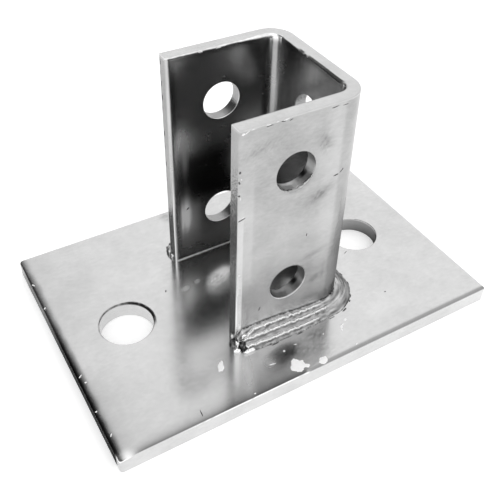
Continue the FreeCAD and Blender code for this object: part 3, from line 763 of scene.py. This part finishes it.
def fillet_weld(material):
    """Fillet weld of three runs, carried along the channel's foot and tapered at both ends.

    Its section goes from the upper toe to the lower toe along a straight face that swells by a
    sine arch. Narrow rippled crests, bell curves of the gap from their own line, stand between
    the runs, and the section returns below the surfaces.
    """
    steps, cells = 900, 84
    girth = np.linspace(WELD_INSET, GIRTH - WELD_INSET, steps)
    share = np.linspace(0.0, 1.0, cells + 1)
    along, across = np.meshgrid(girth, share, indexing="ij")
    legs = np.array(WELD_LEGS)
    leg_up = np.interp(along, legs[:, 0], legs[:, 1])
    leg_out = np.interp(along, legs[:, 0], legs[:, 2])
    face = np.hypot(leg_up, leg_out)

    def ripple(size, seed):
        """Waves along the weld alone, as a column to spread over its section."""
        return waves(girth[:, None], size, seed)[:, None]

    proud = 0.18 * np.sin(np.pi * across) ** 0.5
    crest, groove = np.zeros_like(along), np.zeros_like(along)
    for number, (ridge, bend_start, sunk) in enumerate(RIDGES):
        joined = RIDGES[1][0] - ridge if number == 0 else 0.0
        sway = ridge + joined * (1.0 - smooth(along, 1.0, 7.0))
        sway = sway + 0.014 * ripple(3.4, 33 + number) + 0.018 * ripple(0.9, 43 + number)
        straight = 1.0 - sunk * smooth(along, bend_start - 3.0, bend_start + 1.5)
        straight = straight + 0.4 * smooth(along, 54.0, 62.0)
        height = straight * (0.42 + 0.06 * ripple(2.4, 36 + number))
        gap = (across - sway) * face
        proud = proud + height * np.where(gap > 0.0, bump(gap, 0.0, 0.8), bump(gap, 0.0, 0.36))
        # Masks for a painted highlight along each crest, and for painted shade in the grooves
        # beside it.
        crest = np.maximum(crest, bump(gap, -0.1, 0.5) * unit(1.6 * straight - 0.6))
        groove = np.maximum(groove, np.maximum(bump(gap, 0.75, 0.35), 0.6 * bump(gap, -0.75, 0.3)))
    flow = waves(np.column_stack([along.ravel() / 2.5, across.ravel() * 8.0]), 1.6, 31)
    flow = flow.reshape(along.shape)
    round_bend = bump(along, 46.0, 11.0)
    lapped = waves(np.column_stack([along.ravel() / 3.0, across.ravel() * 6.0]), 3.2, 55)
    lapped = lapped.reshape(along.shape)
    proud = proud + 0.03 * flow + 0.12 * round_bend * lapped
    taper = smooth(along, 0.3, 2.4) * smooth(GIRTH - along, 0.3, 2.4)
    reach = 0.55 + 0.45 * taper
    toe_sway = 1.0 + 0.012 * ripple(5.0, 32)
    out = (leg_out * across * toe_sway + proud * leg_up / face) * reach
    up = (leg_up * (1.0 - across) * toe_sway + proud * leg_out / face) * reach
    root = np.full((steps, 1), -WELD_UNDER)
    ring_out = np.hstack([root, np.maximum(out, 0.0), out[:, -1:], root])
    ring_up = np.hstack([up[:, :1], np.maximum(up, 0.0), root, root])
    points, quads, triangles = swept(girth, ring_out, ring_up)
    # Finish: each crest carries a painted highlight and the grooves beside it painted shade; the
    # toes are undercut and dark in dashes.
    upper_toe = (1.0 - smooth(across, 0.01, 0.05)) * smooth(ripple(1.5, 52), -0.5, 0.2)
    lower_toe = smooth(across, 0.93, 0.99) * smooth(ripple(1.2, 53), -0.4, 0.3)
    film = 0.4 + 0.2 * flow + 0.7 * np.maximum(upper_toe, 0.8 * lower_toe)
    film = film + 0.45 * groove * (1.0 - round_bend) + 0.25 * round_bend * lapped
    edge = np.zeros((steps, 1))
    film = np.hstack([edge, film, edge, edge]).ravel()
    broken = unit(0.95 + 0.4 * flow + 0.35 * ripple(1.0, 54))
    burnish = np.hstack([edge, crest * broken, edge, edge]).ravel()
    # The middles of the two end caps, then the lumps.
    film, burnish = np.append(film, (0.3, 0.3)), np.append(burnish, (0.0, 0.0))
    for seed, (centre, sizes, filmed, bright) in enumerate(WELD_LUMPS, start=51):
        more, lump_quads, lump_triangles = lump(centre, sizes, seed)
        quads.append(lump_quads + len(points))
        triangles.append(lump_triangles + len(points))
        points = np.vstack([points, more])
        patchy = 0.3 * waves(more, 1.0, seed)
        film = np.append(film, filmed * (1.0 + patchy))
        burnish = np.append(burnish, bright * (1.0 + patchy))
    points[:, 2] = np.maximum(points[:, 2], PLATE_TOP - WELD_UNDER)
    return make_piece("plated_fillet_weld", points, [*quads, *triangles], "plated_weld", material,
                      "fillet_weld", sharp=60.0, film=unit(film),
                      burnish=unit(burnish), grain=np.full(len(points), 0.8))


# --- paint flecks, nicks and scuffs -----------------------------------------------------------

# Faces that the marks lie on: a point of the face, then the directions of its u and its v.
PLATE_FACE = ((0.0, 0.0, PLATE_TOP), (1.0, 0.0, 0.0), (0.0, 1.0, 0.0))
NEAR_FACE = ((0.0, CHANNEL_LOW[1], 0.0), (1.0, 0.0, 0.0), (0.0, 0.0, 1.0))
FAR_INSIDE = ((0.0, CHANNEL_HIGH[1] - SHEET, 0.0), (1.0, 0.0, 0.0), (0.0, 0.0, 1.0))
FAR_LIP = ((0.0, CHANNEL_HIGH[1] - SHEET + 0.05, 0.0), (1.0, 0.0, 0.0), (0.0, 0.0, 1.0))
OPEN_ENDS = ((CHANNEL_LOW[0] + 0.03, 0.0, 0.0), (0.0, -1.0, 0.0), (0.0, 0.0, 1.0))
# Flecks of paint: a face and its marks, each the u and v of its middle, its half length, its half
# width and its heading in degrees.
PAINT_FLECKS = (
    (PLATE_FACE, ((-31.9, -34, 2.2, 1.1, 62), (-8.6, -46.4, 3, 2.5, 60),
        (-6.4, -47.6, 1.9, 1, -35), (0.5, -49.1, 1.7, 1.3, 20), (15.1, -39.6, 0.9, 0.35, 60),
        (-9.2, -38.9, 0.45, 0.4, 0), (-15.8, -41.8, 1.2, 0.2, -10), (18.4, -37.4, 0.6, 0.4, 30),
        (-4.1, -38.3, 0.6, 0.12, -20), (-27.3, -49.4, 0.35, 0.25, 0), (16.2, -38.9, 0.7, 0.25, 10),
        (14.5, -40.8, 0.5, 0.2, 80), (7.4, -39.2, 0.25, 0.2, 0), (15.2, -48.8, 0.4, 0.25, 25),
        (-75.4, 35, 0.7, 0.2, -60), (-75.5, 21.4, 0.5, 0.25, 50), (-75.1, -14.4, 0.8, 0.2, 35),
        (-74.4, -17.6, 0.35, 0.3, 0), (-75.6, -30.2, 0.4, 0.2, 20), (-74.7, -40.6, 0.6, 0.2, 50))),)
# Dark scuffs and nicks, and dashes of undercut along the weld's lower toe, in the same order.
SCUFFS = (
    (PLATE_FACE, ((-46.4, -47.5, 1.3, 0.2, 84), (40.4, -33.3, 0.35, 0.3, 0),
        (40.2, -7.9, 1, 0.15, 25), (-32.8, 7.7, 0.5, 0.25, 60))),
    (NEAR_FACE, ((14, 67.6, 1, 0.3, 10), (16, 68.6, 1, 0.2, 40), (-21.7, 80.9, 0.35, 0.4, 0),
        (-21.9, 77.2, 0.3, 0.5, 20), (-21.9, 72.3, 0.35, 0.3, 0), (-20.7, 62.7, 1.2, 0.25, 15),
        (4.6, 46.1, 0.2, 0.7, 0), (-12.9, 19, 0.25, 0.9, -20))),
    (FAR_INSIDE, ((-16.2, 31.1, 0.7, 0.3, 35), (-0.6, 83.4, 0.4, 0.4, 0))),
    (OPEN_ENDS, ((-24.6, 92.8, 0.35, 1.5, 4), (-24.7, 88.6, 0.2, 1, 0),
        (-24.6, 84.4, 0.35, 1.2, -4), (-24.6, 79.3, 0.4, 1.7, 3), (-24.7, 75, 0.25, 0.8, 0),
        (-24.6, 64.6, 0.4, 1.6, -3), (-24.7, 59, 0.25, 0.9, 0), (-24.6, 51.5, 0.35, 1.4, 0),
        (-24.7, 44.6, 0.3, 1.1, 0))),
    (FAR_LIP, ((2.6, 94.7, 3.2, 0.25, 1), (-7, 94.7, 1.6, 0.2, 0), (-11.6, 94.6, 2.2, 0.2, 1),
        (-17, 94.7, 1.4, 0.15, 0))),
    (NEAR_FACE, ((-12.2, 94.2, 1.2, 0.16, 4), (-7.6, 94.3, 0.8, 0.2, -12),
        (-5, 94.1, 0.6, 0.16, 15), (10.6, 93.8, 1.2, 0.18, 4), (14.6, 93.6, 1, 0.15, 0))),
    (PLATE_FACE, ((27.3, -28.5, 1, 0.3, 50), (25.5, -30.6, 0.7, 0.3, 39),
        (21.2, -33.3, 1.1, 0.4, 21), (14.6, -34.3, 1.4, 0.2, 4), (0.3, -34.8, 1.6, 0.25, 3),
        (-10.2, -34.6, 1.8, 0.25, 2), (30.6, -22.6, 0.9, 0.2, 75), (31.2, -17.4, 1, 0.2, 92))))
# Burrs on sheared edges, lightened as painted glints, in the same order.
BURRS = (
    (NEAR_FACE, ((-21.3, 78.3, 0.2, 0.35, 20), (-20.4, 63.4, 0.5, 0.15, 25),
        (-21.4, 39.1, 0.4, 0.5, 0), (-21.5, 71, 0.15, 0.5, 0), (-20.9, 93.9, 0.55, 0.4, 20),
        (-19.6, 94.2, 0.9, 0.15, 28), (-17.6, 94.6, 0.8, 0.14, 0), (-12.6, 94.6, 0.9, 0.16, -6),
        (-9.6, 94.7, 0.5, 0.14, 0), (-6.6, 94.6, 1, 0.18, 5))),
    (FAR_LIP, ((-2.6, 94.6, 1, 0.2, 0), (-9.4, 94.6, 0.9, 0.2, 0))))


def surface_marks(name, marks, thick, slot, material, **finish):
    """Thin drops lying on faces: over a disc whose rim wanders by waves, the height is thick times
    sqrt(1 - share of the radius^2). The rim goes straight down to a base below the face."""
    turns, rings, sunk = 40, 5, 0.15
    around = np.linspace(0.0, 2.0 * math.pi, turns, endpoint=False)
    circle = np.stack([np.cos(around), np.sin(around)], -1)
    points, quads, triangles, count = [], [], [], 0
    rows = [(face, *row) for face, table in marks for row in table]
    for seed, (face, middle_u, middle_v, long, wide, heading) in enumerate(rows, start=71):
        origin, u_way, v_way = np.array(face)
        rim = 1.0 + 0.16 * waves(circle, 1.5, seed) + 0.06 * waves(circle, 0.5, seed + 40)
        share = np.linspace(1.0, 0.0, rings + 1)[:-1, None, None]
        disc = circle * rim[:, None] * share * (long, wide)
        turn = math.radians(heading)
        spin = np.array([[math.cos(turn), math.sin(turn)], [-math.sin(turn), math.cos(turn)]])
        disc = (disc @ spin + (middle_u, middle_v)).reshape(-1, 2)
        rise = np.repeat(np.sqrt(1.0 - share[:, 0, 0] ** 2), turns) * thick
        spread = np.vstack([disc[:turns], disc, [(middle_u, middle_v)] * 2])
        lift = np.concatenate([np.full(turns, -sunk), rise, (thick, -sunk)])
        outwards = lift[:, None] * np.cross(u_way, v_way)
        points.append(origin + spread @ np.array([u_way, v_way]) + outwards)
        number = count + np.arange(turns * (rings + 1)).reshape(rings + 1, turns)
        quads.append(closed_rows(number))
        peak, base = count + number.size, count + number.size + 1
        triangles.append(np.stack([number[-1], np.roll(number[-1], -1), np.full(turns, peak)], -1))
        triangles.append(np.stack([np.roll(number[0], -1), number[0], np.full(turns, base)], -1))
        count += len(points[-1])
    finish = {label: np.full(count, amount) for label, amount in finish.items()}
    return make_piece(name, np.vstack(points), [*quads, *triangles], slot, material, **finish)


# --- camera, floor and light ------------------------------------------------------------------

CAMERA_TARGET = Vector((-3.66, -4.17, 41.01)) * MM
CAMERA_DISTANCE = 0.259  # metres
CAMERA_HEADING = math.radians(31.70)  # turned from +Y towards +X
CAMERA_DOWN = math.radians(39.75)
CAMERA_ROLL = math.radians(1.85)
CAMERA_LENS, CAMERA_SENSOR = 52.48, 36.0  # millimetres
CAMERA_SHIFT = -0.07
CAMERA_CLIP = 0.01  # metres

FLOOR_HALF = 12.0  # metres
FLOOR_LIFT = 0.4  # added to the floor for the rays that see it, not for those that it lights

# Studio light by direction: towards it, cosines at which it ends and is full, level it adds. They
# stand at the back right, front left and front right, and the last is a dark card, back left.
STUDIO_LIGHTS = (((0.45, 0.62, 0.64), 0.55, 0.88, 0.5), ((-0.65, -0.40, 0.64), 0.75, 0.95, 0.9),
                 ((0.40, -0.65, 0.64), 0.50, 0.85, 0.5), ((-0.60, 0.65, 0.47), 0.60, 0.92, -0.52))
STUDIO_LEVEL = 0.62


def make_camera():
    """Camera that looks from the front left, down at the middle of the part."""
    data = bpy.data.cameras.new("camera")
    data.lens, data.sensor_width, data.shift_y = CAMERA_LENS, CAMERA_SENSOR, CAMERA_SHIFT
    data.clip_start = CAMERA_CLIP
    camera = add_object("camera", data)
    flat = Vector((math.sin(CAMERA_HEADING), math.cos(CAMERA_HEADING), 0.0))
    forward = flat * math.cos(CAMERA_DOWN) - Vector((0.0, 0.0, math.sin(CAMERA_DOWN)))
    aim = forward.to_track_quat("-Z", "Y").to_matrix().to_4x4()
    spin = Matrix.Rotation(CAMERA_ROLL, 4, "Z")
    camera.matrix_world = Matrix.Translation(CAMERA_TARGET - forward * CAMERA_DISTANCE) @ aim @ spin
    bpy.context.scene.camera = camera


def make_floor():
    """Pale matt floor; camera, mirror and glass rays see it a little lighter than it is lit."""
    material, tree, shader = new_material("pale_studio_floor")
    shader.inputs["Base Color"].default_value = colour("#efefef")
    shader.inputs["Roughness"].default_value = 1.0
    shader.inputs["Specular IOR Level"].default_value = 0.0
    path = node(tree, "LightPath")
    seen = node(tree, "Math", {"operation": "MAXIMUM"},
                _0=path.outputs["Is Camera Ray"], _1=path.outputs["Is Glossy Ray"])
    seen = node(tree, "Math", {"operation": "MAXIMUM"},
                _0=seen.outputs[0], _1=path.outputs["Is Transmission Ray"])
    lift = node(tree, "Math", {"operation": "MULTIPLY"}, _0=seen.outputs[0],
                _1=FLOOR_LIFT)
    shader.inputs["Emission Color"].default_value = (1.0, 1.0, 1.0, 1.0)
    tree.links.new(lift.outputs[0], shader.inputs["Emission Strength"])
    half = FLOOR_HALF
    mesh = bpy.data.meshes.new("studio_floor")
    mesh.from_pydata([(-half, -half, 0), (half, -half, 0), (half, half, 0), (-half, half, 0)], [],
                     [(0, 1, 2, 3)])
    mesh.materials.append(material)
    add_object("studio_floor", mesh)


def make_light():
    """Soft light from all round, as a world: a level plus an S-curve of the angle from each of the
    studio lights."""
    world = bpy.data.worlds.new("studio")
    bpy.context.scene.world = world
    world.use_nodes = True
    tree = world.node_tree
    background = tree.nodes["Background"]
    heading = node(tree, "TexCoord").outputs["Generated"]
    total = None
    for towards, end, full, level in STUDIO_LIGHTS:
        aim = node(tree, "VectorMath", {"operation": "DOT_PRODUCT"}, _0=heading,
                   _1=Vector(towards).normalized())
        part = node(tree, "MapRange", {"interpolation_type": "SMOOTHSTEP"},
                    Value=aim.outputs["Value"], From_Min=end, From_Max=full, To_Max=level)
        level_so_far = STUDIO_LEVEL if total is None else total
        total = node(tree, "Math", {"operation": "ADD"}, _0=level_so_far,
                     _1=part.outputs["Result"]).outputs[0]
    tree.links.new(total, background.inputs["Strength"])
    background.inputs["Color"].default_value = (1.0, 1.0, 1.0, 1.0)


bpy.context.scene.view_settings.view_transform = "Standard"
make_camera()
make_floor()
make_light()
base_plate(plated_steel("zinc_plated_plate", clean="#c9c9c9", cloudy="#d7d7d7", film="#262626",
                        rough=0.18, stretch=(1.0, 2.0, 2.0)))
channel_plating = plated_steel("zinc_plated_channel", clean="#a5a5a5", cloudy="#bbbbbb",
                               film="#303030", rough=0.25, stretch=(1.0, 1.0, 3.0))
post_channel(channel_plating)
weld_plating = plated_steel("zinc_plated_weld", clean="#b8b8b8", cloudy="#cccccc",
                            film="#3c3c3c", rough=0.25, stretch=(1.0, 1.0, 1.0))
fillet_weld(weld_plating)
root_bead(weld_plating)
# Burrs lightened as painted glints.
surface_marks("burrs_with_painted_glints", BURRS, 0.1, "plated_channel", channel_plating,
              burnish=0.8, matt=0.4)
surface_marks("paint_flecks", PAINT_FLECKS, 0.12, "plated_plate",
              matt_paint("dried_white_paint", light="#ffffff", dark="#f6f6f6"))
surface_marks("dark_scuffs", SCUFFS, 0.03, "plated_channel",
              matt_paint("scuffed_dark_film", light="#3a3a3a", dark="#666666"))
